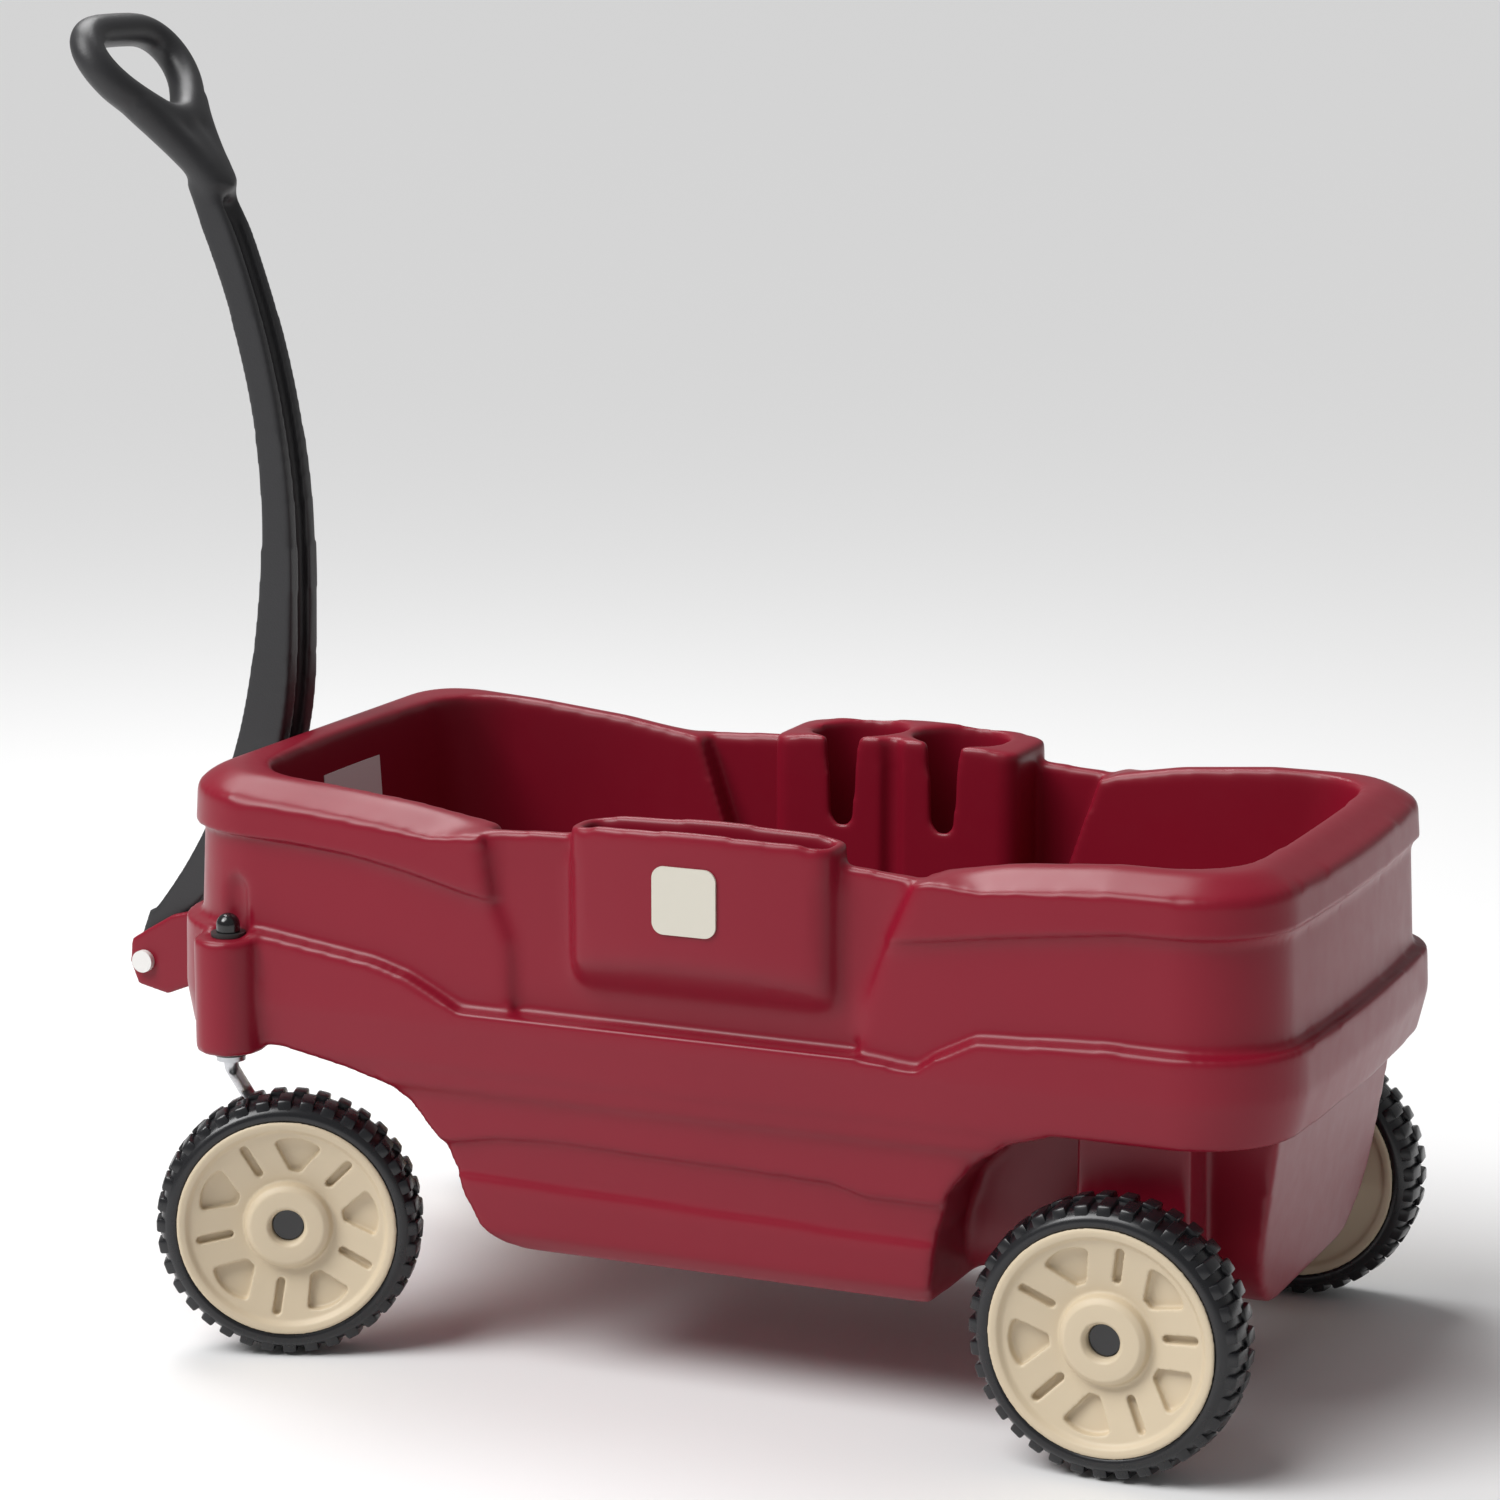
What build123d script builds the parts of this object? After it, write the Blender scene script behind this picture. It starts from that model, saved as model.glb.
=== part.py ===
from build123d import *
import os
from math import cos, radians, sin

os.makedirs("parts", exist_ok=True)

# Kids pull wagon. Millimetres, +Z up, origin on the ground under the middle of the whole wagon.
# The handle end looks along -X, the storage pocket is on -Y and the two cup holders are on +Y.

# ---- overall sizes ----
body_half_width = 218       # side walls at the rim
front_x = -466              # front wall at the rim, on the centre line
rear_x = 405                # rear wall at the rim, on the centre line
wall_lean = 8               # how far the walls stand out at their foot
belt_step = 7               # how far the belt stands out of the walls above it
rim_front = 441             # rim height at the front end
rim_rear = 429              # rim height at the rear end
rim_low = 418               # rim height beside the pocket
ground_clearance = 92
belt_bottom = 238
wall_foot = 262             # the walls start inside the belt
end_bow = 10                # bow of the front and rear walls
rim_width = 38              # wide rim of the two raised ends
low_rim_width = 17          # narrow rim beside the pocket
panel_depth = 7             # how far the side panels lie behind the ends
collar_step = 3             # how far the collar stands out of the wall
seat_height = 251
footwell_floor = 106

# ---- wheels and axle ----
tyre_radius = 101.5
tyre_width = 44
rim_radius = 83.5           # lips of the wheel discs
barrel_radius = 80          # seat of the tyre
wheel_width = 50            # over both lips
lip_width = (wheel_width - tyre_width) / 2
dish_rim = 5                # the spokes start this far behind the lips, at the rim
dish_hub = 14               # and slope to this depth at the hub
web = 11                    # thickness of the outer disc
back_web = 7                # thickness of the inner disc
window_depth = 7
hub_radius = 33
hub_depth = 4               # end face of the hub, behind the lips
hub_mouth = 15              # radius of the recess at the hub's end face
wheel_plane = 252           # outer lips of the wheels, from the centre line
spokes = 5
rear_axle_x = 297
axle_radius = 5.5
running = 0.08              # radial clearance of a shaft in its bore
bush_wall = 3
cap_radius = 11.5
cap_room = 1                # gap round the cap in the hub
cap_face = 12               # outer end of the cap, behind the lips
cap_seat = 19               # its inner end
cap_wall = 2
axle_end = cap_face + cap_wall
wheel_gap = 0.5             # end float of a wheel beside its washer
washer_radius = 14
washer_thick = 2

# ---- casters ----
stem_x = -407
stem_y = 226
stem_radius = axle_radius   # a caster rod is one bent bar, stem and spindle alike
boss_radius = 26
boss_bottom = 232
boss_top = 321
caster_offset = 34          # outer lips of a front wheel, outboard of its stem
trail = 44                  # how far a front wheel trails behind its stem
front_steer = 21.3          # the front wheels stand turned in by this angle
front_roll = 8              # how far a front wheel stands rolled from a window at its top
rear_roll = -26             # the same for a rear wheel
stem_cap_radius = 9
scallop_radius = 16
flange_radius = 13
flange_thick = 3
stem_bush_length = 22
collar_height = 4

# ---- pull handle ----
pivot_x = -596
pivot_z = 240
bracket_half_width = 37
cheek = 9
blade_width_foot = 50
blade_width_neck = 36
channel_width = 17
channel_depth = 9
grip_tilt = 38              # the grip leans forward from upright by this angle
grip_half_width = 76
grip_height = 132           # from the neck to the top of the grip
grip_thick = 27
neck_x = -549
neck_z = 888
eye_radius = 17
pin_radius = 5
pin_cap_radius = 9
swing_gap = 1.0             # side gap of the handle between the cheeks
screw_radius = 3

# ---- pocket and cup holders ----
pocket_front = -124
pocket_rear = 84
pocket_out = body_half_width + 18    # outer face, from the centre line
pocket_in = body_half_width - 34     # inner face, from the centre line
pocket_top = 432
pocket_wall = 9
pocket_depth = 96
holder_in = body_half_width - 70
cup_radius = 38
cup_depth = 98
cup_slot = 18
cup_slot_depth = 70
cup_slot_flare = 5          # how much wider a slot is at its mouth
valley_radius = 9           # upright groove between the two cup wells
badge_size = 50
badge_thick = 1.5
label_thick = 0.6


def plan(front, rear, half_width, corner, z=0):
    """Outline seen from above: bowed ends and round corners."""
    ends = [
        ThreePointArc((front + end_bow, -half_width), (front, 0), (front + end_bow, half_width)),
        Line((front + end_bow, half_width), (rear - end_bow, half_width)),
        ThreePointArc((rear - end_bow, half_width), (rear, 0), (rear - end_bow, -half_width)),
        Line((rear - end_bow, -half_width), (front + end_bow, -half_width)),
    ]
    face = fillet(make_face(ends).vertices(), corner)
    return Pos(0, 0, z) * face


def stack(levels):
    """Straight-sided solid through outlines at rising heights."""
    return loft([plan(*level[1:], z=level[0]) for level in levels], ruled=True)


def side_prism(points, half_width=400, y=0):
    """A side-view outline, carried across the wagon."""
    wire = Polyline(*points, close=True)
    face = Plane.XZ * make_face(wire)
    return Pos(0, y, 0) * extrude(face, half_width, both=True)


def below(line, floor):
    """Everything under a side-view line."""
    return side_prism([(line[0][0], floor), *line, (line[-1][0], floor)])


def box_between(low, high):
    """Box from its lowest to its highest corner."""
    size = [h - l for l, h in zip(low, high)]
    return Pos(*low) * Box(*size, align=(Align.MIN, Align.MIN, Align.MIN))


def across(x, y0, y1, z, radius):
    """Round bar along Y, from y0 to y1."""
    length = y1 - y0
    return Pos(x, (y0 + y1) / 2, z) * Rot(90, 0, 0) * Cylinder(radius, length)


def upright(x, y, z0, z1, radius):
    """Round bar along Z, from z0 to z1."""
    return Pos(x, y, (z0 + z1) / 2) * Cylinder(radius, z1 - z0)


# ---- side-view lines of the body ----
notch_front = -202
notch_rear = 147
panel_foot = 282
rim_line = [
    (-560, rim_front),
    (-430, rim_front),
    (-350, rim_front - 5),
    (-270, rim_front - 13),
    (notch_front - 6, rim_low),
    (notch_front, rim_low - 1),
    (-130, rim_low + 2),
    (60, rim_low),
    (notch_rear, rim_low - 8),
    (notch_rear + 9, rim_low - 4),
    (207, rim_rear - 6),
    (281, rim_rear),
    (520, rim_rear),
]
collar_line = [
    (-560, rim_front - 38),
    (-393, rim_front - 40),
    (-308, rim_front - 49),
    (-213, rim_front - 70),
    (notch_front + 12, rim_front - 74),
    (118, rim_rear - 68),
    (209, rim_rear - 54),
    (300, rim_rear - 44),
    (520, rim_rear - 42),
]
shelf_line = [
    (-560, 327),
    (-380, 325),
    (-336, 319),
    (-285, 312),
    (-257, 304),
    (-234, 293),
    (-214, panel_foot),
    (102, panel_foot - 1),
    (148, panel_foot - 6),
    (164, 288),
    (192, 302),
    (287, 307),
    (520, 303),
]
hull_line = [
    (-300, 246),
    (-277, 215),
    (-258, 198),
    (-239, 175),
    (-231, 157),
    (-223, 132),
    (-212, 110),
    (-198, 97),
    (-178, ground_clearance),
    (148, ground_clearance),
    (157, 150),
    (168, 184),
    (188, 208),
    (214, 226),
    (246, 236),
    (246, 246),
]


def upper_walls():
    """Walls from the belt up, with the collar round the top and the recessed side panels."""
    full = stack([
        (wall_foot, front_x - wall_lean, rear_x + wall_lean, body_half_width + 4, 72),
        (rim_front + 10, front_x, rear_x, body_half_width, 70),
    ])
    slim = stack([
        (wall_foot, front_x - wall_lean + collar_step, rear_x + wall_lean - collar_step,
         body_half_width + 4 - collar_step, 72),
        (rim_front + 10, front_x + collar_step, rear_x - collar_step,
         body_half_width - collar_step, 70),
    ])
    collar = full - below(collar_line, 0)
    walls = (collar + slim) & below(rim_line, 0)
    panel = [
        (notch_front + 3, rim_front + 20),
        (notch_front + 3, rim_low),
        (notch_front + 12, 366),
        (notch_front + 26, 335),
        (notch_front + 28, panel_foot - 12),
        (100, panel_foot - 12),
        (104, 315),
        (122, 364),
        (notch_rear, rim_low - 4),
        (notch_rear, rim_front + 20),
    ]
    for side in (-1, 1):
        middle = side * (body_half_width - panel_depth + 50)
        walls -= side_prism(panel, 50, middle)
    return walls


def belt():
    """The wide band round the wagon, which carries the casters and the tongue."""
    foot = wall_lean + belt_step
    wide = body_half_width + 4 + belt_step
    band = stack([
        (belt_bottom - 26, front_x - foot + 26, rear_x + foot - 30, wide - 14, 70),
        (belt_bottom, front_x - foot + 6, rear_x + foot - 8, wide - 4, 76),
        (belt_bottom + 34, front_x - foot, rear_x + foot, wide, 80),
        (345, front_x - foot + 1, rear_x + foot - 3, wide - 1, 80),
    ])
    floor = [
        (-560, belt_bottom),
        (-364, belt_bottom),
        (-315, 227),
        (-277, 215),
        (200, 215),
        (214, 226),
        (246, belt_bottom),
        (520, belt_bottom),
    ]
    return (band & below(shelf_line, 100)) - below(floor, 0)


ledge_line = [(-260, 149), (-219, 148), (148, 139), (200, 138)]
step_line = [(-260, 172), (-233, 175), (-190, 183), (-141, 186), (-60, 184), (76, 181), (103, 173), (200, 173)]


def flared(levels):
    """Both sides of the foot well, from a list of heights and half widths."""
    right = [(y, z) for z, y in levels]
    outline = [(-y, z) for y, z in reversed(right)] + right
    return extrude(Plane.YZ * make_face(Polyline(*outline, close=True)), 400, both=True)


def lower_hull():
    """The foot well between the wheels: a skirt, two undulating steps and the flare to the belt."""
    skirt = flared([(ground_clearance, 190), (ground_clearance + 14, 200), (160, 207)]) & below(ledge_line, 0)
    recess = flared([(ground_clearance, 186), (ground_clearance + 14, 196), (148, 202), (182, 206), (246, 210)])
    flare = flared([(150, 208), (214, 214), (220, 221), (246, 224)]) - below(step_line, 0)
    return (skirt + recess + flare) & side_prism(hull_line)


block_half_width = 150
pillar_half_width = 186


def rear_block():
    """The narrow box between the rear wheels, which carries the axle on two pillars."""
    foot = block_half_width - 12
    section = Plane.YZ * make_face(Polyline(
        (-block_half_width, 246), (-foot, ground_clearance), (foot, ground_clearance),
        (block_half_width, 246), close=True))
    low_corners = section.vertices().sort_by(Axis.Z)[:2]
    section = fillet(low_corners, 70)
    ends = side_prism([(120, 80), (371, 80), (394, 246), (120, 246)])
    block = extrude(section, 420) & ends
    for side in (-1, 1):
        inner = side * (block_half_width - 40)
        outer = side * pillar_half_width
        low = (rear_axle_x - 42, min(inner, outer), ground_clearance)
        high = (rear_axle_x + 42, max(inner, outer), 245)
        block += box_between(low, high)
    return block


def tub():
    """The space inside: two seats with a foot well between them."""
    end_half = body_half_width - rim_width
    mid_half = body_half_width - panel_depth - low_rim_width + 4
    inside_front = front_x + rim_width + 4
    inside_rear = rear_x - rim_width + 6
    seats = stack([
        (seat_height, inside_front + 14, inside_rear - 14, end_half - 8, 52),
        (rim_front + 30, inside_front, inside_rear, end_half, 56),
    ])
    lane = [
        (notch_front + 2, rim_front + 30),
        (notch_front + 2, rim_low),
        (notch_front + 30, 335),
        (notch_front + 34, seat_height),
        (104, seat_height),
        (110, 315),
        (notch_rear - 2, rim_low),
        (notch_rear - 2, rim_front + 30),
    ]
    middle = side_prism(lane, mid_half)
    well = side_prism([
        (-222, seat_height + 1),
        (-206, 160),
        (-188, footwell_floor),
        (128, footwell_floor),
        (136, seat_height + 1),
    ], 184)
    return seats + middle + well


def pocket_outline(outer, inner, inset=0):
    """Plan of a side pocket: its outer face is gently bowed."""
    x0, x1 = pocket_front + inset, pocket_rear - inset
    face = make_face([
        Line((x0, inner), (x0, outer - 7)),
        ThreePointArc((x0, outer - 7), ((x0 + x1) / 2, outer), (x1, outer - 7)),
        Line((x1, outer - 7), (x1, inner)),
        Line((x1, inner), (x0, inner)),
    ])
    return fillet(face.vertices(), 16 - inset)


pocket_crown = [
    (pocket_front - 10, 0), (pocket_front - 10, pocket_top - 4), (pocket_front + 35, pocket_top + 1),
    ((pocket_front + pocket_rear) / 2, pocket_top + 3), (pocket_rear - 35, pocket_top + 1),
    (pocket_rear + 10, pocket_top - 4), (pocket_rear + 10, 0),
]


def side_bulge(inner):
    """Solid of a side pocket, on +Y; its outer foot slopes back into the wall."""
    column = extrude(Pos(0, 0, 300) * pocket_outline(pocket_out, inner), 160)
    front = make_face(Polyline(
        (pocket_front, 470), (pocket_front, 300), (pocket_rear, 300), (pocket_rear, 470), close=True))
    front = Plane.XZ * fillet(front.vertices().sort_by(Axis.Y)[:2], 26)
    beyond = pocket_out + 40
    outside = Pos(0, beyond, 0) * extrude(front, beyond - body_half_width + 20)
    slope = Plane.YZ * make_face(Polyline(
        (body_half_width - 40, 303), (body_half_width - 8, 303), (pocket_out + 4, 342),
        (pocket_out + 4, 470), (body_half_width - 40, 470), close=True))
    outer_part = column & outside & extrude(slope, 300, both=True)
    inner_part = column & box_between((-200, 100, 300), (200, body_half_width - 12, 470))
    return (outer_part + inner_part) & side_prism(pocket_crown)


def phone_pocket():
    """Storage pocket on the -Y side."""
    return mirror(side_bulge(pocket_in), Plane.XZ)


def phone_slot():
    """The hollow of the storage pocket."""
    slot = pocket_outline(pocket_out - pocket_wall, pocket_in + pocket_wall, pocket_wall)
    return mirror(extrude(Pos(0, 0, pocket_top - pocket_depth) * slot, 200), Plane.XZ)


cup_y = (holder_in + pocket_out) / 2 - 1
cup_xs = [(pocket_front + pocket_rear) / 2 - 43, (pocket_front + pocket_rear) / 2 + 43]


def cup_hollows():
    """Two round cup wells with finger slots towards the tub."""
    hollows = []
    for x in cup_xs:
        well = upright(x, cup_y, pocket_top - cup_depth, pocket_top + 20, cup_radius)
        slot_foot = pocket_top - cup_slot_depth + cup_slot / 2
        half, mouth = cup_slot / 2, cup_slot / 2 + cup_slot_flare
        taper = Plane.XZ * make_face(Polyline(
            (x - half, slot_foot), (x + half, slot_foot), (x + mouth, pocket_top + 20),
            (x - mouth, pocket_top + 20), close=True))
        slot = Pos(0, cup_y, 0) * extrude(taper, cup_y - holder_in + 10)
        slot += across(x, holder_in - 10, cup_y, slot_foot, cup_slot / 2)
        hollows.append(well + slot)
    valley = upright(sum(cup_xs) / 2, holder_in - 2, seat_height, pocket_top + 20, valley_radius)
    return hollows[0] + hollows[1] + valley


def boss(side):
    """Corner boss that holds a caster stem."""
    y = side * stem_y
    column = upright(stem_x, y, boss_bottom, boss_top, boss_radius)
    low = (stem_x - 20, min(y, side * 190), boss_bottom + 4)
    high = (stem_x + 20, max(y, side * 190), boss_top)
    return column + box_between(low, high)


def body():
    """The double-walled moulded wagon body."""
    shell = upper_walls() + belt() + lower_hull() + rear_block()
    shell += phone_pocket() + side_bulge(body_half_width - 30)
    shell -= tub()
    inner_block = side_bulge(holder_in) & box_between((-200, 100, 300), (200, 300, 470))
    pocket_block = phone_pocket() & box_between((-200, -300, 300), (200, 0, 470))
    shell += inner_block + pocket_block
    shell -= phone_slot()
    shell -= cup_hollows()
    for side in (-1, 1):
        y = side * stem_y
        shell += boss(side)
        shell -= upright(stem_x, y, boss_top, boss_top + 34, scallop_radius)
        shell -= Pos(stem_x, y, boss_top + 34) * Sphere(scallop_radius)
        shell -= upright(stem_x, y, boss_bottom - 1, boss_top + 1, stem_bush_radius)
    shell -= across(rear_axle_x, -300, 300, tyre_radius, axle_radius)
    return shell - tongue_screws()


stem_bush_radius = stem_radius + running + bush_wall


def stem_bush(side, upper):
    """Flanged nylon bush, pressed into one end of a boss."""
    y = side * stem_y
    end, way = (boss_top, 1) if upper else (boss_bottom, -1)
    inner_end, outer_end = end - way * stem_bush_length, end + way * flange_thick
    tube = upright(stem_x, y, min(end, inner_end), max(end, inner_end), stem_bush_radius)
    flange = upright(stem_x, y, min(end, outer_end), max(end, outer_end), flange_radius)
    return tube + flange - upright(stem_x, y, 0, 500, stem_radius + running)


# ---- casters, each in its own frame: stem at the origin, wheel trailing along +X, outboard on -Y ----
spindle_end = caster_offset - axle_end
rod_inboard = caster_offset - wheel_width - 13
stem_end = boss_top + flange_thick + 10


def caster_rod():
    """Bent steel rod: stem, crank past the inner side of the tyre, and wheel spindle."""
    neck = boss_bottom - flange_thick - collar_height - 6
    path = FilletPolyline(
        (0, 0, stem_end),
        (0, 0, neck),
        (4, -rod_inboard, neck - 23),
        (trail, -rod_inboard, tyre_radius + 27),
        (trail, -rod_inboard, tyre_radius),
        (trail, -spindle_end, tyre_radius),
        radius=10)
    start = Plane(origin=(0, 0, stem_end), z_dir=(0, 0, -1))
    return sweep(start * Circle(stem_radius), path=path)


def stem_collar():
    """Pressed steel ring that carries the boss on the stem."""
    top = boss_bottom - flange_thick - 0.3
    return upright(0, 0, top - collar_height, top, 11) - upright(0, 0, 0, 500, stem_radius)


def stem_cap():
    """Domed push-on cap on the top end of the stem."""
    base = boss_top + flange_thick + 0.3
    dome = upright(0, 0, base, base + 5, stem_cap_radius) + Pos(0, 0, base + 5) * Sphere(stem_cap_radius)
    return dome - upright(0, 0, base - 10, base, 20) - upright(0, 0, base - 5, stem_end, stem_radius)


def caster_place(solid, side):
    """Carry a caster piece from its own frame to its corner of the wagon."""
    placed = Pos(stem_x, -stem_y, 0) * Rot(0, 0, front_steer) * solid
    return placed if side < 0 else mirror(placed, Plane.XZ)


# ---- wheel pieces, each in a wheel frame: axis along +Y, outer lips at y = 0, inboard is +Y ----
bush_radius = axle_radius + running + bush_wall


def ring(radius, bore, y0, y1):
    """Ring about the wheel axis, from y0 to y1."""
    return across(0, y0, y1, 0, radius) - across(0, y0 - 1, y1 + 1, 0, bore)


def tyre():
    """Tyre with rounded shoulders, clamped between the lips of the discs."""
    low, high = lip_width, lip_width + tyre_width
    outline = Plane.XY * make_face(Polyline(
        (barrel_radius, low), (rim_radius + 2, low), (rim_radius + 5, low - 1.5),
        (tyre_radius - 6, low + 2), (tyre_radius - 1, low + 8), (tyre_radius, wheel_width / 2),
        (tyre_radius - 1, high - 8), (tyre_radius - 6, high - 2), (rim_radius + 5, high + 1.5),
        (rim_radius + 2, high), (barrel_radius, high), close=True))
    return revolve(outline, Axis.Y)


def turned(points):
    """Solid of revolution about the wheel axis; each point is (radius, depth)."""
    return revolve(make_face(Polyline(*points, close=True)), Axis.Y)


def outer_disc():
    """Dished outer half of a wheel: lip, barrel, five spokes with grooves, and hub."""
    middle, web_radius = wheel_width / 2, barrel_radius - 6
    hole, floor = cap_radius + cap_room, cap_seat + 1
    solid = turned([
        (bush_radius, middle), (bush_radius, floor), (hole, floor), (hole, hub_depth + 4),
        (hub_mouth, hub_depth), (hub_radius - 5, hub_depth), (hub_radius - 1, hub_depth + 3),
        (hub_radius + 1, dish_hub), (web_radius, dish_rim), (web_radius + 3, 1),
        (rim_radius - 2, 0), (rim_radius, 1), (rim_radius, lip_width), (barrel_radius, lip_width),
        (barrel_radius, middle), (barrel_radius - 4, middle), (barrel_radius - 4, dish_rim + web),
        (hub_radius + 1, middle),
    ])
    slope = (dish_hub - dish_rim) / (web_radius - hub_radius - 1)
    axis_depth = dish_hub + slope * (hub_radius + 1) + window_depth
    front_layer = turned([(0, -9), (web_radius + 9, -9), (web_radius + 9, dish_rim + window_depth - 9 * slope),
                          (0, axis_depth)])
    cutter = (window() + spoke_slot()) & front_layer
    for i in range(spokes):
        solid -= Rot(0, 360 / spokes * i, 0) * cutter
    return solid


def inner_disc():
    """Plain inner half of a wheel."""
    middle, face = wheel_width / 2, dish_rim
    solid = turned([
        (bush_radius, middle), (bush_radius, 1), (hub_radius - 9, 1), (hub_radius - 9, face),
        (barrel_radius - 6, face), (barrel_radius - 3, 1), (rim_radius - 2, 0), (rim_radius, 1),
        (rim_radius, lip_width), (barrel_radius, lip_width), (barrel_radius, middle),
        (barrel_radius - 4, middle), (barrel_radius - 4, face + back_web),
        (hub_radius - 9, face + back_web), (hub_radius - 9, middle),
    ])
    return Pos(0, wheel_width, 0) * mirror(solid, Plane.XZ)


def through(shape):
    """A shape drawn on the wheel's face, carried right through it."""
    face = Plane(origin=(0, wheel_width, 0), x_dir=(1, 0, 0), z_dir=(0, -1, 0)) * shape
    return extrude(face, 2 * wheel_width)


def window():
    """Blind window between two spokes."""
    inner, outer_edge = hub_radius + 9, barrel_radius - 12
    shape = make_face([
        Polyline((-18, outer_edge - 4), (-4, inner), (4, inner), (18, outer_edge - 4)),
        ThreePointArc((18, outer_edge - 4), (0, outer_edge + 2), (-18, outer_edge - 4)),
    ])
    return through(fillet(shape.vertices(), 3))


def spoke_slot():
    """Groove along the middle of a spoke."""
    middle = (hub_radius + barrel_radius) / 2
    return Rot(0, 180 / spokes, 0) * through(Pos(0, middle) * SlotOverall(28, 6, rotation=90))


def wheel_bush():
    """Nylon bush through both discs."""
    return ring(bush_radius, axle_radius + running, cap_seat + 1.5, wheel_width)


def axle_cap():
    """Domed push-on cap on an axle end, in the recess of the hub."""
    cup = across(0, cap_face, cap_seat, 0, cap_radius)
    return cup - across(0, axle_end, cap_seat + 1, 0, axle_radius)


def washer():
    """Flat washer at the inner end of a wheel's bore."""
    low = wheel_width + wheel_gap
    return ring(washer_radius, axle_radius, low, low + washer_thick)


def rear_place(solid, side):
    """Carry a wheel piece to the rear axle."""
    placed = Pos(rear_axle_x, -wheel_plane, tyre_radius) * solid
    return placed if side < 0 else mirror(placed, Plane.XZ)


def front_place(solid, side):
    """Carry a wheel piece to a caster's spindle."""
    return caster_place(Pos(trail, -caster_offset, tyre_radius) * solid, side)


# ---- tongue bracket and handle ----
bracket_back = front_x - wall_lean - belt_step


def bracket():
    """Tongue bracket: two cheeks on a back plate that is screwed to the belt."""
    back = bracket_back - 0.5
    outline = [
        (back, 300), (back - 26, 296), (pivot_x + 26, pivot_z + 40), (pivot_x + 4, pivot_z + 27),
        (pivot_x - 12, pivot_z + 17), (pivot_x - 14, pivot_z - 2), (pivot_x - 7, pivot_z - 20),
        (pivot_x + 20, pivot_z - 26), (back, 252),
    ]
    solid = side_prism(outline, bracket_half_width)
    inside = bracket_half_width - cheek
    solid -= box_between((pivot_x - 60, -inside, 150), (back - 22, inside, 400))
    return solid - across(pivot_x, -80, 80, pivot_z, pin_radius) - tongue_screws()


def tongue_screws():
    """Two screws through the back plate into the belt."""
    screws = []
    for y in (-14, 14):
        shank = Pos(bracket_back - 4, y, 276) * Rot(0, 90, 0) * Cylinder(screw_radius, 36)
        head = Pos(bracket_back - 24, y, 276) * Rot(0, 90, 0) * Cylinder(2 * screw_radius, 4)
        screws.append(shank + head)
    return screws[0] + screws[1]


def handle():
    """Long pull handle: eye, tapering blade with a channelled back, and a loop grip."""
    rear_edge = [(-566, 275), (-524, 323), (-475, 420), (-463, 520), (-463, 603), (-484, 740), (-532, 874)]
    front_edge = [(-562, 880), (-508, 740), (-489, 603), (-495, 520), (-514, 425), (-562, 323), (-598, 275)]
    outline = make_face([
        Spline(rear_edge), Line(rear_edge[-1], front_edge[0]),
        Spline(front_edge), Line(front_edge[-1], rear_edge[0])])
    upper_blade = Plane.XZ * outline
    foot = Plane.XZ * make_face(Polyline(
        (pivot_x - eye_radius, pivot_z), (-598, 280), (-564, 280), (pivot_x + eye_radius, pivot_z), close=True))
    half_foot, half_neck = blade_width_foot / 2, blade_width_neck / 2
    taper = Plane.YZ * make_face(Polyline(
        (-half_foot, 150), (half_foot, 150), (half_foot, 430), (half_neck, 800), (half_neck, 950),
        (-half_neck, 950), (-half_neck, 800), (-half_foot, 430), close=True))
    wide = extrude(upper_blade, half_foot, both=True) + extrude(foot, half_foot, both=True)
    blade = wide & extrude(taper, 900, both=True)
    narrow = extrude(upper_blade, channel_width / 2, both=True)
    channel = narrow - Pos(-channel_depth, 0, 0) * extrude(upper_blade, channel_width, both=True)
    channel &= box_between((-900, -100, 300), (0, 100, 862))
    inside = bracket_half_width - cheek - swing_gap
    eye = across(pivot_x, -inside, inside, pivot_z, eye_radius)
    return blade - channel + eye + grip() - across(pivot_x, -80, 80, pivot_z, pin_radius + running)


def grip():
    """Loop grip in a plane that leans forward."""
    wide, high = grip_half_width, grip_height
    neck = blade_width_neck / 2
    outer = make_face(Polyline(
        (-neck, -16), (-neck - 1, 6), (-wide, 66), (-wide + 2, high - 14), (-wide + 24, high),
        (wide - 24, high), (wide - 2, high - 14), (wide, 66), (neck + 1, 6), (neck, -16), close=True))
    tops = outer.vertices().filter_by_position(Axis.Y, 20, 200)
    outer = fillet(tops, 20)
    bar = grip_thick
    opening = make_face(Polyline(
        (0, 26), (wide - bar - 2, 68), (wide - bar, high - bar - 12), (wide - bar - 14, high - bar),
        (-wide + bar + 14, high - bar), (-wide + bar, high - bar - 12), (-wide + bar + 2, 68), close=True))
    opening = fillet(opening.vertices(), 9)
    lean = radians(grip_tilt)
    plane = Plane(origin=(neck_x, 0, neck_z), x_dir=(0, 1, 0), z_dir=(cos(lean), 0, sin(lean)))
    return extrude(plane * (outer - opening), grip_thick / 2, both=True)


def handle_pin():
    """Steel pin through the cheeks and the handle's eye."""
    half = bracket_half_width + 3
    return across(pivot_x, -half, half, pivot_z, pin_radius)


def pin_caps():
    """Two push caps on the ends of the handle pin."""
    inner, outer = bracket_half_width, bracket_half_width + 5
    cap = across(pivot_x, inner, outer, pivot_z, pin_cap_radius)
    cap -= across(pivot_x, inner - 1, inner + 3, pivot_z, pin_radius)
    return cap + mirror(cap, Plane.XZ)


def rear_axle():
    """Steel axle through the rear block and both rear wheels."""
    half = wheel_plane - axle_end
    return across(rear_axle_x, -half, half, tyre_radius, axle_radius)


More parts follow.
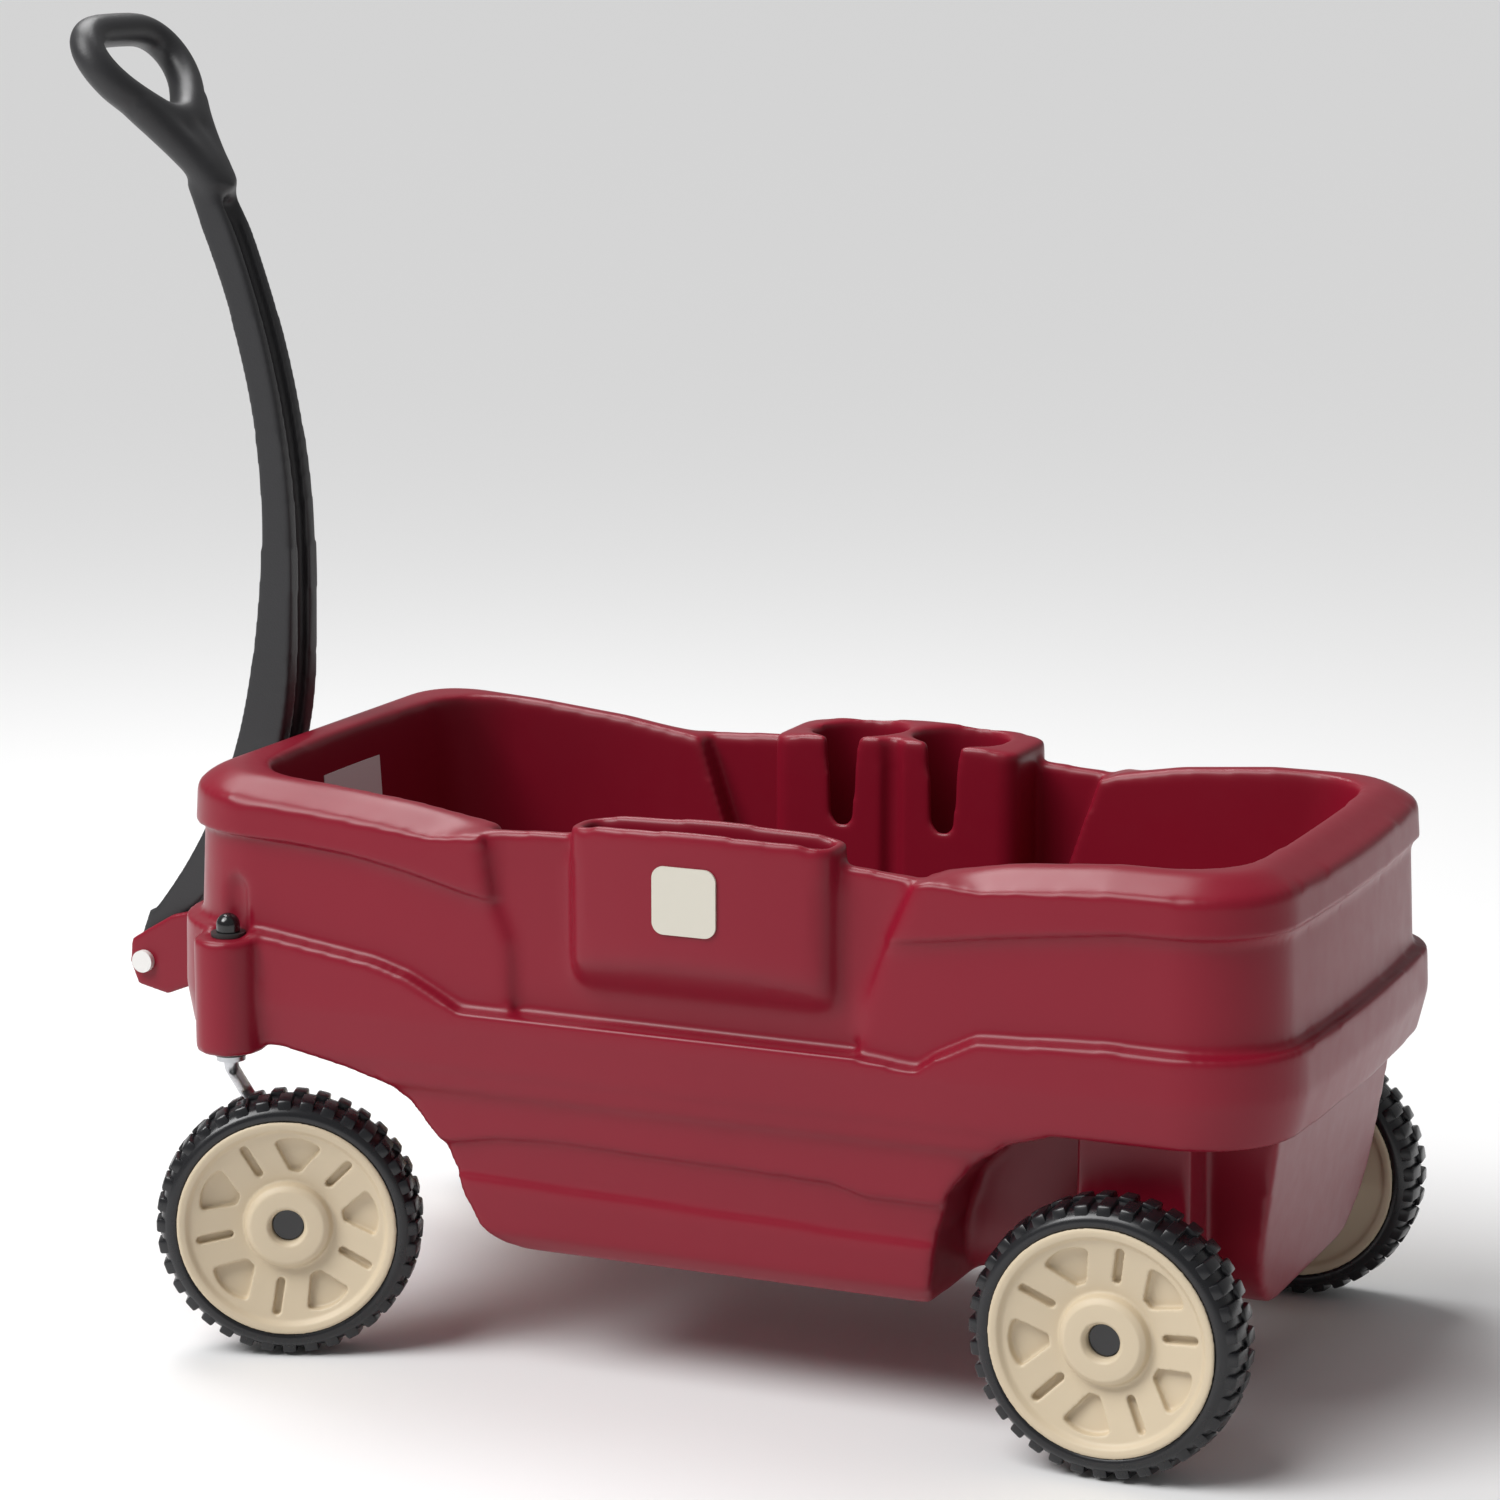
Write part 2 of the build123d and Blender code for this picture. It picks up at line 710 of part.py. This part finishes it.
def spacers():
    """Two sleeves on the axle between the block and the washers."""
    low = wheel_width + wheel_gap + washer_thick
    sleeve = ring(axle_radius + 4, axle_radius, low, wheel_plane - pillar_half_width)
    return rear_place(sleeve, -1) + rear_place(sleeve, 1)


badge_x = (pocket_front + pocket_rear) / 2 - 6
badge_z = pocket_top - 48


def badge(shell):
    """Plain rounded badge on the pocket, hollowed to the pocket's bow."""
    corner = Plane(origin=(badge_x, -pocket_out - badge_thick, badge_z), x_dir=(1, 0, 0), z_dir=(0, 1, 0))
    return extrude(corner * RectangleRounded(badge_size, badge_size, 9), 7) - shell


def label():
    """Blank sticker on the inside of the front wall."""
    space = tub()
    patch = box_between((-500, -52, 368), (0, 40, 410))
    return (space & patch) - Pos(label_thick, 0, 0) * space


def all_pieces():
    """Every piece of the wagon in its place, by name."""
    shell = body()
    pieces = {
        "body": shell,
        "tongue_bracket": bracket(),
        "tongue_screws": tongue_screws(),
        "handle": handle(),
        "handle_pin": handle_pin(),
        "handle_pin_caps": pin_caps(),
        "badge": badge(shell),
        "label": label(),
        "rear_axle": rear_axle(),
        "rear_axle_spacers": spacers(),
    }
    wheel = {"tyre": tyre(), "outer_disc": outer_disc(), "inner_disc": inner_disc(), "bush": wheel_bush()}
    ends = {"axle_cap": axle_cap(), "washer": washer()}
    for name, side in (("left", -1), ("right", 1)):
        pieces[f"upper_stem_bush_{name}"] = stem_bush(side, True)
        pieces[f"lower_stem_bush_{name}"] = stem_bush(side, False)
        pieces[f"caster_rod_{name}"] = caster_place(caster_rod(), side)
        pieces[f"stem_collar_{name}"] = caster_place(stem_collar(), side)
        pieces[f"stem_cap_{name}"] = caster_place(stem_cap(), side)
        for part, solid in {**wheel, **ends}.items():
            pieces[f"front_{part}_{name}"] = front_place(Rot(0, front_roll, 0) * solid, side)
            pieces[f"rear_{part}_{name}"] = rear_place(Rot(0, rear_roll, 0) * solid, side)
    return pieces


wagon = all_pieces()
whole = Compound(children=[copy for piece in wagon.values() for copy in piece.solids()]).bounding_box()
middle = Pos(-(whole.min.X + whole.max.X) / 2, -(whole.min.Y + whole.max.Y) / 2, -whole.min.Z)
for name, piece in wagon.items():
    export_step(middle * piece, f"parts/{name}.step")
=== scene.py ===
from math import cos, pi, radians, sin

import bpy
from mathutils import Matrix, Vector


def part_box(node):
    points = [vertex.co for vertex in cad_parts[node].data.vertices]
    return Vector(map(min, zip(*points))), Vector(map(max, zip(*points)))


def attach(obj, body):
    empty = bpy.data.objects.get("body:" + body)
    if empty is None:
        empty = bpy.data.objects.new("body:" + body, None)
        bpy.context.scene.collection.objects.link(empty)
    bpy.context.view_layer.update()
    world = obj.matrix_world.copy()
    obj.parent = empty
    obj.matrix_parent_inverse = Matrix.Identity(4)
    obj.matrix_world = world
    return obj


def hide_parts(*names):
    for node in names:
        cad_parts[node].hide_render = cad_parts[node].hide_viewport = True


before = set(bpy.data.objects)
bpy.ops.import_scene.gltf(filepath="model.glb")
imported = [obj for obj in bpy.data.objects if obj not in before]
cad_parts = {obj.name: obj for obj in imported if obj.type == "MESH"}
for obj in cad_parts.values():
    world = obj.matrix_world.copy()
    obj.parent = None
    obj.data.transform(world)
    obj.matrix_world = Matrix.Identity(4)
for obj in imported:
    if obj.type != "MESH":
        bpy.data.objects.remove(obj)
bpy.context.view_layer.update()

# Kids pull wagon. Metres; the handle end looks along -X, the storage pocket is on -Y.

MM = 0.001

# ---- sizes shared with the solids ----
WHEEL_WIDTH = 50 * MM
SEAT_RADIUS = 80 * MM
LIP = 3 * MM
LUGS = 36
GRIP_LEAN = radians(38)
FRONT_STEER = radians(21.3)            # the front wheels stand turned in by this angle
BODY_HALF_WIDTH = 218 * MM


def middle_of(node):
    """Centre of a node's box at rest."""
    low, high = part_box(node)
    return (Vector(low) + Vector(high)) / 2


# ---- materials ----
class Wire:
    """A value inside a material, with arithmetic written as Python."""

    def __init__(self, finish, socket):
        self.finish, self.socket = finish, socket

    def math(self, operation, *others):
        return self.finish.node("ShaderNodeMath", {"operation": operation}, dict(enumerate((self, *others))))

    def __add__(self, other):
        return self.math("ADD", other)

    __radd__ = __add__

    def __mul__(self, other):
        return self.math("MULTIPLY", other)

    __rmul__ = __mul__

    def __sub__(self, other):
        return self.math("SUBTRACT", other)

    def __rsub__(self, other):
        return self.finish.node("ShaderNodeMath", {"operation": "SUBTRACT"}, {0: other, 1: self})


class Finish:
    """One material: a Principled shader and the nodes that feed it."""

    def __init__(self, name, color, roughness, **constants):
        self.material = bpy.data.materials.new(name)
        self.material.use_nodes = True
        self.tree = self.material.node_tree
        self.shader = self.tree.nodes["Principled BSDF"]
        self.set("Base Color", (*color, 1))
        self.set("Roughness", roughness)
        for socket, value in constants.items():
            self.set(socket.replace("_", " "), value)
        self.color = color

    def node(self, kind, settings=None, values=None, output=0):
        """Any node: its type, its settings, then the values or links of its sockets."""
        node = self.tree.nodes.new(kind)
        for key, value in (settings or {}).items():
            setattr(node, key, value)
        for key, value in (values or {}).items():
            self.feed(node.inputs[key], value)
        return Wire(self, node.outputs[output])

    def feed(self, socket, value):
        if isinstance(value, Wire):
            self.tree.links.new(value.socket, socket)
        else:
            socket.default_value = value

    def set(self, socket, value):
        self.feed(self.shader.inputs[socket], value)

    def place(self, stretch=(1, 1, 1)):
        """Object coordinates, stretched."""
        spot = self.node("ShaderNodeTexCoord", output="Object")
        return self.node("ShaderNodeMapping", None, {"Vector": spot, "Scale": stretch})

    def noise(self, scale, detail=2.0, roughness=0.5, stretch=(1, 1, 1)):
        return self.node("ShaderNodeTexNoise", None,
                         {"Vector": self.place(stretch), "Scale": scale,
                          "Detail": detail, "Roughness": roughness},
                         output="Fac")

    def mix(self, factor, first, second):
        """Two colours mixed by a value."""
        as_color = lambda c: c if isinstance(c, Wire) else (*c, 1)
        return self.node("ShaderNodeMix", {"data_type": "RGBA"},
                         {0: factor, 6: as_color(first), 7: as_color(second)}, output=2)

    def bump(self, height, strength, distance):
        self.set("Normal", self.node("ShaderNodeBump", None,
                                     {"Height": height, "Strength": strength, "Distance": distance}))


def shade(color, factor):
    return tuple(c * factor for c in color)


def moulded(name, color, roughness, pebble=900, pebble_height=0.00002, ripple=0.0003, coat=0.0, spread=0.06):
    """Moulded plastic: slow colour drift, pebbled skin and the soft ripple of a moulded wall."""
    finish = Finish(name, color, roughness, Coat_Roughness=0.22, Coat_Weight=coat)
    drift = finish.noise(7, 3)
    finish.set("Base Color", finish.mix(drift, shade(color, 1 - spread), shade(color, 1 + spread)))
    grain = finish.noise(pebble, 2, 0.6)
    finish.set("Roughness", roughness - 0.05 + 0.1 * finish.noise(60, 3))
    finish.bump(grain * (pebble_height / 0.001) + finish.noise(9, 1) * (ripple / 0.001), 1.0, 0.001)
    return finish


BODY_RED = (0.215, 0.0055, 0.019)
body_plastic = moulded("satin_crimson_plastic", BODY_RED, 0.34, pebble=700, pebble_height=0.000012, coat=0.05)
body_plastic.set("Specular IOR Level", 0.3)
handle_plastic = moulded("textured_charcoal_plastic", (0.021, 0.021, 0.023), 0.42, pebble=650,
                         pebble_height=0.00016, ripple=0.0, spread=0.12)
tyre_plastic = moulded("black_tyre_plastic", (0.009, 0.0092, 0.011), 0.28, pebble=900,
                       pebble_height=0.00001, ripple=0.0002, spread=0.15)
wheel_plastic = moulded("beige_wheel_plastic", (0.60, 0.50, 0.355), 0.5, pebble=1500,
                        pebble_height=0.00003, ripple=0.0, spread=0.03)
nylon = moulded("dark_nylon", (0.03, 0.03, 0.03), 0.45, ripple=0.0)
cap_plastic = moulded("gloss_black_plastic", (0.006, 0.006, 0.007), 0.16, ripple=0.0, coat=0.3)
white_plastic = moulded("white_plastic", (0.78, 0.78, 0.76), 0.35, ripple=0.0, spread=0.02)
plate_plastic = moulded("cream_plate", (0.62, 0.59, 0.51), 0.42, ripple=0.0, spread=0.02)
sticker = moulded("blank_sticker", (0.74, 0.74, 0.74), 0.5, ripple=0.0, spread=0.01)

steel = Finish("zinc_plated_steel", (0.55, 0.56, 0.58), 0.3, Metallic=1.0)
steel.set("Roughness", 0.22 + 0.22 * steel.noise(260, 3))
steel.bump(steel.noise(1800, 2), 0.15, 0.0002)

NODE_FINISH = {
    "tongue_screws": steel, "handle_pin": steel, "rear_axle": steel, "rear_axle_spacers": steel,
    "handle_pin_caps": white_plastic, "badge": plate_plastic, "label": sticker,
    "body": body_plastic, "tongue_bracket": body_plastic, "handle": handle_plastic,
}
for side in ("left", "right"):
    NODE_FINISH |= {f"{part}_{side}": steel for part in
                    ("caster_rod", "stem_collar", "rear_washer", "front_washer")}
    NODE_FINISH |= {f"{part}_{side}": nylon for part in
                    ("upper_stem_bush", "lower_stem_bush", "front_bush", "rear_bush")}
    NODE_FINISH |= {f"{part}_{side}": cap_plastic for part in ("stem_cap", "front_axle_cap", "rear_axle_cap")}
    for end in ("front", "rear"):
        NODE_FINISH |= {f"{end}_tyre_{side}": tyre_plastic, f"{end}_outer_disc_{side}": wheel_plastic,
                        f"{end}_inner_disc_{side}": wheel_plastic}
for node, finish in NODE_FINISH.items():
    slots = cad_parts[node].data.materials
    slots.clear()
    slots.append(finish.material)


# ---- modelling helpers ----
def only(piece):
    """Make one piece the selected, active one."""
    bpy.ops.object.select_all(action="DESELECT")
    piece.select_set(True)
    bpy.context.view_layer.objects.active = piece


def modify(piece, kind, **settings):
    """Add a modifier and apply it."""
    only(piece)
    modifier = piece.modifiers.new(kind.lower(), kind)
    for key, value in settings.items():
        setattr(modifier, key, value)
    bpy.ops.object.modifier_apply(modifier=modifier.name)


def copy_of(node, name):
    """Merged copy of a solid's mesh, as a new piece."""
    piece = bpy.data.objects.new(name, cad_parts[node].data.copy())
    bpy.context.scene.collection.objects.link(piece)
    only(piece)
    bpy.ops.object.mode_set(mode="EDIT")
    bpy.ops.mesh.select_all(action="SELECT")
    bpy.ops.mesh.remove_doubles(threshold=0.00001)
    bpy.ops.object.mode_set(mode="OBJECT")
    return piece


def soften(piece, voxel, rounds, most_faces):
    """Round every edge of a closed piece, as a mould does, and thin its mesh."""
    modify(piece, "REMESH", mode="VOXEL", voxel_size=voxel)
    modify(piece, "SMOOTH", factor=0.5, iterations=rounds)
    triangles = sum(len(face.vertices) - 2 for face in piece.data.polygons)
    if triangles > most_faces:
        modify(piece, "DECIMATE", ratio=most_faces / triangles)


def finished(piece, finish, body, slot, *stands_for):
    """Give a piece its material and body, and hide the solids that it stands for. The slot argument is not
    used.
    """
    piece.data.materials.clear()
    piece.data.materials.append(finish.material)
    for face in piece.data.polygons:
        face.use_smooth = True
    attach(piece, body)
    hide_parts(*stands_for)


def smoothstep(low, high, value):
    t = min(1.0, max(0.0, (value - low) / (high - low)))
    return t * t * (3 - 2 * t)


def band(value, low, high, edge):
    """1 between low and high, falling to 0 over edge on both sides."""
    return smoothstep(low - edge, low, value) * (1 - smoothstep(high, high + edge, value))


def soften_where(piece, weight, rounds):
    """Smooth only where weight(point) is over 0."""
    group = piece.vertex_groups.new(name="softer")
    for vertex in piece.data.vertices:
        amount = weight(vertex.co)
        if amount > 0.01:
            group.add([vertex.index], amount, "REPLACE")
    modify(piece, "SMOOTH", factor=0.5, iterations=rounds, vertex_group=group.name)
    piece.vertex_groups.remove(piece.vertex_groups["softer"])


# ---- body and tongue bracket ----
SHIFT = 110.45 * MM                    # the body's own centre line crosses, from the wagon's middle
RIM_CREST = 30 * MM                    # the rims fall away outside this distance from the walls
CROWN_DROP = 12 * MM                   # how far the outer edge of a rim sinks
COLLAR_STEP = 3 * MM                   # how far the band under a rim stands out


def at(x):
    """A place along the wagon, in millimetres from the body's own origin."""
    return x * MM + SHIFT


def from_outer_wall(point):
    """Distance inwards from the outline of the rims, with rounded corners."""
    corner = 70 * MM
    from_side = BODY_HALF_WIDTH - abs(point.y)
    from_end = min(point.x - at(-468), at(405) - point.x)
    if from_side < corner and from_end < corner:
        return corner - Vector((corner - from_side, corner - from_end)).length
    return min(from_side, from_end)


def crown(point):
    """How far the top of a raised end rim sinks towards its outer edge."""
    x, y, z = point
    raised = 1 - band(x, at(-186), at(140), 60 * MM)
    fall = 1 - smoothstep(-4 * MM, RIM_CREST, from_outer_wall(point))
    return CROWN_DROP * fall * raised * smoothstep(385 * MM, 425 * MM, z)


COLLAR = [(-470, 404), (-438, 403), (-393, 401), (-354, 399), (-308, 392), (-257, 382), (-213, 371),
          (-190, 366)]
REAR_COLLAR = [(118, 364), (209, 377), (300, 388), (410, 389)]


def along(line, x):
    """Height of a line of points at x, in metres."""
    for (x0, z0), (x1, z1) in zip(line, line[1:]):
        if at(x0) <= x <= at(x1):
            return (z0 + (z1 - z0) * (x - at(x0)) / ((x1 - x0) * MM)) * MM
    return (line[0] if x < at(line[0][0]) else line[-1])[1] * MM


def collar(point):
    """Outward push of the band under each end rim, above its crease."""
    x, y, z = point
    front = x < at(0)
    line = COLLAR if front else REAR_COLLAR
    reach = 1 - smoothstep(at(-200), at(-178), x) if front else smoothstep(at(112), at(150), x)
    outside = 1 - smoothstep(6 * MM, 12 * MM, from_outer_wall(point))
    lift = smoothstep(-1.6 * MM, 1.6 * MM, z - along(line, x))
    return COLLAR_STEP * lift * reach * outside


def pocket_foot(point):
    """The foot and sides of the pocket and of the cup block fade into the wall."""
    x, y, z = point
    low_edge = band(z, 296 * MM, 352 * MM, 10 * MM) * band(x, at(-140), at(100), 10 * MM)
    sides = (band(x, at(-136), at(-112), 6 * MM) + band(x, at(72), at(98), 6 * MM)) * (
        1 - smoothstep(395 * MM, 412 * MM, z)) * smoothstep(296 * MM, 306 * MM, z)
    return min(1.0, low_edge + sides) * smoothstep(208 * MM, 211 * MM, abs(y))


def hull_steps(point):
    """The soft upper step of the lower side, the wheel arch and the keel."""
    x, y, z = point
    step = band(z, 205 * MM, 228 * MM, 6 * MM) * band(x, at(-260), at(240), 15 * MM)
    keel = (1 - smoothstep(96 * MM, 106 * MM, z)) * 0.6
    return min(1.0, step + keel) * smoothstep(150 * MM, 170 * MM, abs(y))


def panel_edges(point):
    """The slanting ends of the recessed side panels."""
    x, y, z = point
    front = band(x, at(-206), at(-168), 4 * MM)
    rear = band(x, at(98), at(152), 4 * MM)
    return 0.8 * (front + rear) * band(z, 292 * MM, 404 * MM, 6 * MM) * smoothstep(205 * MM, 209 * MM, abs(y))


MOST_BODY_TRIANGLES = 196000
body = copy_of("body", "moulded_body")
modify(body, "REMESH", mode="VOXEL", voxel_size=0.0026)
modify(body, "SMOOTH", factor=0.5, iterations=12)
soften_where(body, pocket_foot, 60)
soften_where(body, hull_steps, 25)
soften_where(body, panel_edges, 30)
moves = []
for vertex in body.data.vertices:            # worked out first: a read after a write is slow
    outwards = Vector((vertex.normal.x, vertex.normal.y, 0))
    place = vertex.co + outwards * collar(vertex.co)
    place.z -= crown(place)
    moves.extend(place)
body.data.vertices.foreach_set("co", moves)
body.data.update()
soften_where(body, lambda point: smoothstep(408 * MM, 416 * MM, point.z), 14)
triangles = sum(len(face.vertices) - 2 for face in body.data.polygons)
modify(body, "DECIMATE", ratio=MOST_BODY_TRIANGLES / triangles)
finished(body, body_plastic, "wagon", "body_plastic", "body")

bracket = copy_of("tongue_bracket", "moulded_tongue_bracket")
soften(bracket, 0.0013, 14, 60000)
finished(bracket, body_plastic, "wagon", "body_plastic", "tongue_bracket")

# ---- handle ----
NECK = Vector((at(-549), 0, 888 * MM))
UP_GRIP = Vector((-sin(GRIP_LEAN), 0, cos(GRIP_LEAN)))    # along the grip's own plane, away from the neck


def grip_point(across, up):
    """A point of the grip's plane, from the neck, in millimetres."""
    return NECK + Vector((0, across * MM, 0)) + UP_GRIP * up * MM


def add_tube(name, points, radii, closed):
    """Round bar through points, as a mesh."""
    curve = bpy.data.curves.new(name, "CURVE")
    curve.dimensions, curve.bevel_depth, curve.bevel_resolution = "3D", 1.0, 6
    curve.use_fill_caps = not closed
    spline = curve.splines.new("NURBS")
    spline.points.add(len(points) - 1)
    for spot, point, radius in zip(spline.points, points, radii):
        spot.co, spot.radius = (*point, 1), radius
    spline.use_cyclic_u, spline.use_endpoint_u = closed, not closed
    spline.order_u, spline.resolution_u = 4, 10
    tube = bpy.data.objects.new(name, curve)
    bpy.context.scene.collection.objects.link(tube)
    only(tube)
    bpy.ops.object.convert(target="MESH")
    return bpy.context.object


handle = copy_of("handle", "pull_handle_moulding")
only(handle)
bpy.ops.object.mode_set(mode="EDIT")
bpy.ops.mesh.select_all(action="SELECT")
cut = grip_point(0, -14)
bpy.ops.mesh.bisect(plane_co=cut, plane_no=UP_GRIP, clear_outer=True, use_fill=True)
bpy.ops.object.mode_set(mode="OBJECT")

half_loop = [(0, 31), (16, 33), (34, 48), (52, 66), (61, 88), (57, 108), (40, 120), (14, 121)]
other_half = [(-a, u) for a, u in reversed(half_loop[1:])]
loop_points = [grip_point(a, u) for a, u in half_loop + other_half]
half_radii = [15, 15, 14.5, 14, 13.5, 13.5, 13.5, 13.5]
loop_radii = [r * MM for r in half_radii + half_radii[:0:-1]]
loop = add_tube("grip_loop", loop_points, loop_radii, True)
neck = add_tube("grip_neck", [grip_point(0, -40), grip_point(0, -20), grip_point(0, 0), grip_point(0, 30)],
                [11 * MM, 14 * MM, 15 * MM, 13 * MM], False)
shoulders = []
for name, way in (("left", -1), ("right", 1)):
    route = [grip_point(way * 9, -34), grip_point(way * 10, -12), grip_point(way * 18, 14),
             grip_point(way * 42, 50)]
    shoulder_radii = [11 * MM, 13 * MM, 14 * MM, 13.5 * MM]
    shoulders.append(add_tube(f"grip_shoulder_{name}", route, shoulder_radii, False))
bpy.ops.object.select_all(action="DESELECT")
for part in (loop, neck, *shoulders, handle):
    part.select_set(True)
bpy.context.view_layer.objects.active = handle
bpy.ops.object.join()
soften(handle, 0.0017, 14, 150000)


def handle_softness(point):
    """The grip and neck are rounder than the blade."""
    return smoothstep(828 * MM, 866 * MM, point.z) * (1 - smoothstep(915 * MM, 935 * MM, point.z))


soften_where(handle, handle_softness, 110)
finished(handle, handle_plastic, "pull_handle", "handle_plastic", "handle")


# ---- wheels ----
def joined(name, parts):
    """Several meshes made one piece."""
    bpy.ops.object.select_all(action="DESELECT")
    for part in parts:
        part.select_set(True)
    bpy.context.view_layer.objects.active = parts[0]
    bpy.ops.object.join()
    parts[0].name = name
    return parts[0]


def spun_ring(name, outline, steps):
    """Closed outline of (radius, across) points, spun about the wheel's axis, which is Y."""
    bpy.ops.object.select_all(action="DESELECT")
    bpy.ops.mesh.primitive_circle_add(vertices=len(outline), radius=0.01)
    ring = bpy.context.object
    ring.name = name
    for vertex, (radius, across) in zip(ring.data.vertices, outline):
        vertex.co = (radius, across, 0)
    bpy.ops.object.mode_set(mode="EDIT")
    bpy.ops.mesh.select_all(action="SELECT")
    bpy.ops.mesh.spin(steps=steps, angle=2 * pi, center=(0, 0, 0), axis=(0, 1, 0))
    bpy.ops.mesh.select_all(action="SELECT")
    bpy.ops.mesh.remove_doubles(threshold=0.00002)
    bpy.ops.mesh.normals_make_consistent(inside=False)
    bpy.ops.object.mode_set(mode="OBJECT")
    return ring


TREAD_RADIUS = 97.3 * MM


def lug(place_across, shoulder):
    """One tread block: it crosses the crown and folds down over the shoulder."""
    bpy.ops.object.select_all(action="DESELECT")
    bpy.ops.mesh.primitive_cube_add(size=1)
    block = bpy.context.object
    for vertex in block.data.vertices:
        inner, outer = vertex.co.z < 0, vertex.co.x
        side = 1 if vertex.co.y > 0 else -1
        along = outer * (11.4 if inner else 10.2) * MM
        towards_edge = side == shoulder
        if towards_edge:
            across = place_across + side * (12.4 if inner else 9.6) * MM
            height = (-8.0 if inner else 1.9) * MM
        else:
            across = place_across + side * (9.4 if inner else 8.8) * MM
            height = (-3.0 if inner else 3.6) * MM
        vertex.co = (along, across, TREAD_RADIUS + height)
    modify(block, "BEVEL", width=0.0016, segments=2, limit_method="NONE")
    return block


def make_tyre():
    """Tyre in its wheel frame: smooth rounded carcass and two staggered rows of blocks."""
    low, high = LIP, WHEEL_WIDTH - LIP
    middle = WHEEL_WIDTH / 2
    half = [(SEAT_RADIUS, low), (83 * MM, low), (84.5 * MM, low - 1.6 * MM), (88 * MM, low - 2.2 * MM),
            (91.5 * MM, low - 0.6 * MM), (94.3 * MM, low + 2.5 * MM), (96.2 * MM, low + 7 * MM),
            (TREAD_RADIUS - 0.3 * MM, low + 13 * MM)]
    outline = half + [(TREAD_RADIUS, middle)] + [(r, WHEEL_WIDTH - a) for r, a in reversed(half)]
    carcass = spun_ring("tyre", outline, 144)
    blocks = []
    for row, (across, shoulder) in enumerate(((middle - 10.3 * MM, -1), (middle + 10.3 * MM, 1))):
        pattern = lug(across, shoulder)
        for n in range(LUGS):
            block = pattern.copy()
            block.data = pattern.data.copy()
            bpy.context.scene.collection.objects.link(block)
            block.data.transform(Matrix.Rotation(2 * pi * (n + row / 2) / LUGS, 4, "Y"))
            blocks.append(block)
        bpy.data.objects.remove(pattern)
    return joined("tyre", [carcass, *blocks])


def wheel_matrix(end, side):
    """From the wheel frame, outer lips at y = 0 and inboard along +Y, to a wheel's place."""
    tyre_centre = middle_of(f"{end}_tyre_{side}")
    turn = FRONT_STEER if end == "front" else 0.0
    flip = Matrix.Diagonal((1, -1 if side == "right" else 1, 1, 1))
    spot = Vector((tyre_centre.x, -abs(tyre_centre.y), tyre_centre.z))
    return flip @ Matrix.Translation(spot) @ Matrix.Rotation(turn, 4, "Z") @ Matrix.Translation(
        (0, -WHEEL_WIDTH / 2, 0))


pattern_tyre = make_tyre()
for side in ("left", "right"):
    for end in ("front", "rear"):
        riding = f"{end}_wheel_{side}"
        tyre = pattern_tyre.copy()
        tyre.data = pattern_tyre.data.copy()
        tyre.name = f"{end}_treaded_tyre_{side}"
        bpy.context.scene.collection.objects.link(tyre)
        tyre.data.transform(wheel_matrix(end, side))
        if side == "right":
            only(tyre)
            bpy.ops.object.mode_set(mode="EDIT")
            bpy.ops.mesh.select_all(action="SELECT")
            bpy.ops.mesh.flip_normals()
            bpy.ops.object.mode_set(mode="OBJECT")
        finished(tyre, tyre_plastic, riding, "tyre", f"{end}_tyre_{side}")
        only(tyre)
        bpy.ops.object.shade_smooth_by_angle(angle=radians(40))
        for half, voxel, rounds in (("outer", 0.0010, 6), ("inner", 0.0014, 5)):
            node = f"{end}_{half}_disc_{side}"
            disc = copy_of(node, f"{end}_wheel_{half}_half_{side}")
            soften(disc, voxel, rounds, 70000)
            finished(disc, wheel_plastic, riding, "wheel_plastic", node)
bpy.data.objects.remove(pattern_tyre)

# ---- floor, light and camera ----
bpy.ops.object.select_all(action="DESELECT")
bpy.ops.mesh.primitive_plane_add(size=110, location=(0, 0, -0.0005))
floor = bpy.context.object
floor.name = "studio_floor"
floor_finish = Finish("pale_floor", (0.86, 0.86, 0.86), 0.6)
floor.data.materials.append(floor_finish.material)

world = bpy.data.worlds.new("studio")
bpy.context.scene.world = world
world.use_nodes = True
world.node_tree.nodes["Background"].inputs["Color"].default_value = (1, 1, 1, 1)
world.node_tree.nodes["Background"].inputs["Strength"].default_value = 0.25


def softbox(name, place, aim, size, power):
    """Area light at a place, turned to a point."""
    lamp = bpy.data.lights.new(name, "AREA")
    lamp.size, lamp.energy = size, power
    light = bpy.data.objects.new(name, lamp)
    bpy.context.scene.collection.objects.link(light)
    light.location = place
    light.rotation_euler = (Vector(aim) - Vector(place)).to_track_quat("-Z", "Y").to_euler()


softbox("key_light", (-2.2, -2.6, 3.0), (0, 0, 0.3), 1.6, 45)
softbox("rim_light", (-1.1, 0.8, 2.7), (0, 0, 0.4), 1.5, 45)

sun_data = bpy.data.lights.new("soft_daylight", "SUN")
sun_data.energy, sun_data.angle = 2.3, radians(40)
sun = bpy.data.objects.new("soft_daylight", sun_data)
bpy.context.scene.collection.objects.link(sun)
sun.rotation_euler = (Vector((0, 0, 0)) - Vector((-1.3, -1.7, 2.9))).to_track_quat("-Z", "Y").to_euler()
bpy.context.scene.view_settings.view_transform = "Standard"

camera_data = bpy.data.cameras.new("camera")
camera_data.lens, camera_data.sensor_width = 107.4, 36
camera = bpy.data.objects.new("camera", camera_data)
bpy.context.scene.collection.objects.link(camera)
camera.location = (1.3694, -3.0744, 1.1112)
camera.rotation_euler = (radians(90 - 11.19), 0, radians(23.49))
bpy.context.scene.camera = camera
